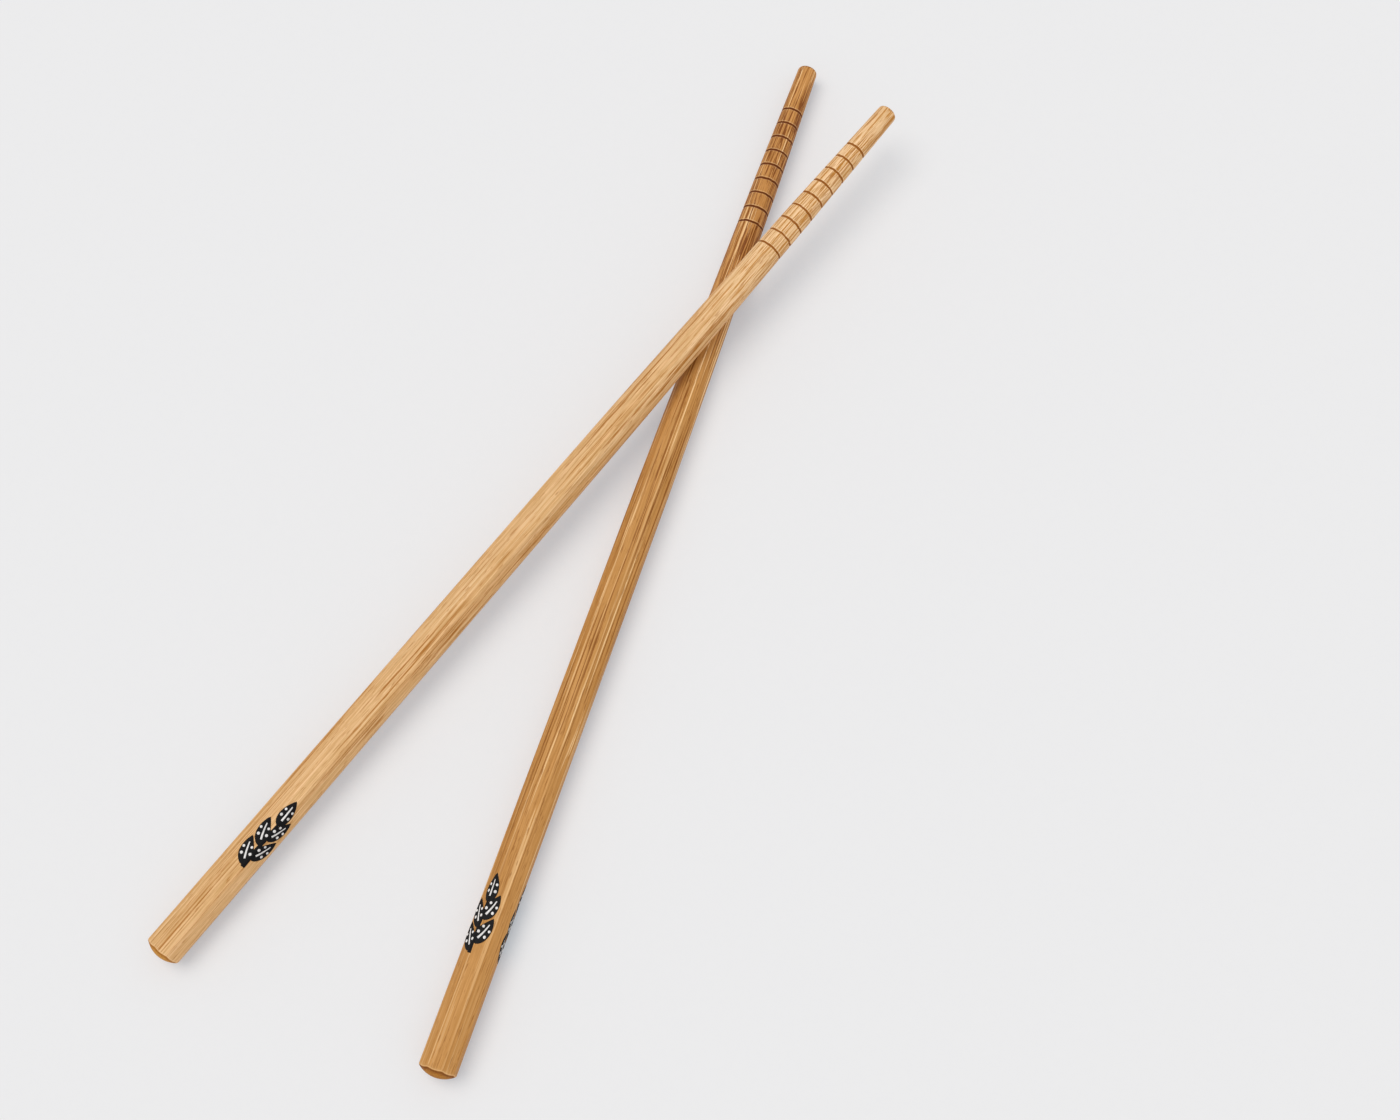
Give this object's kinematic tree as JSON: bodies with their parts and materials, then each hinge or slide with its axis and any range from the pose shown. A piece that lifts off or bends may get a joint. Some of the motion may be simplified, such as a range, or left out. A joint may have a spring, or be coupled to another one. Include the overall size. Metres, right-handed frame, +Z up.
{
  "type": "chopsticks",
  "caption": "Bamboo chopsticks with faceted handles, domed butts and round tapered ends with fine grip rings, lying crossed.",
  "frame": {"origin": "on the table plane, under the middle of the pair's bounding box", "axes": "+Z up from the table, +Y along the pair's longer side, towards the tips, +X to the right seen from above"},
  "size_m": [0.1544, 0.2282, 0.0149],
  "materials": {
    "light_bamboo": "satin, lightly varnished pale bamboo",
    "dark_bamboo": "satin, lightly varnished caramel bamboo",
    "printed_ink": "thin satin printed ink, near black",
    "printed_white": "thin satin printed ink, white"
  },
  "bodies": {
    "root": {"upper_chopstick": "light_bamboo", "lower_chopstick": "dark_bamboo"}
  },
  "joints": []
}
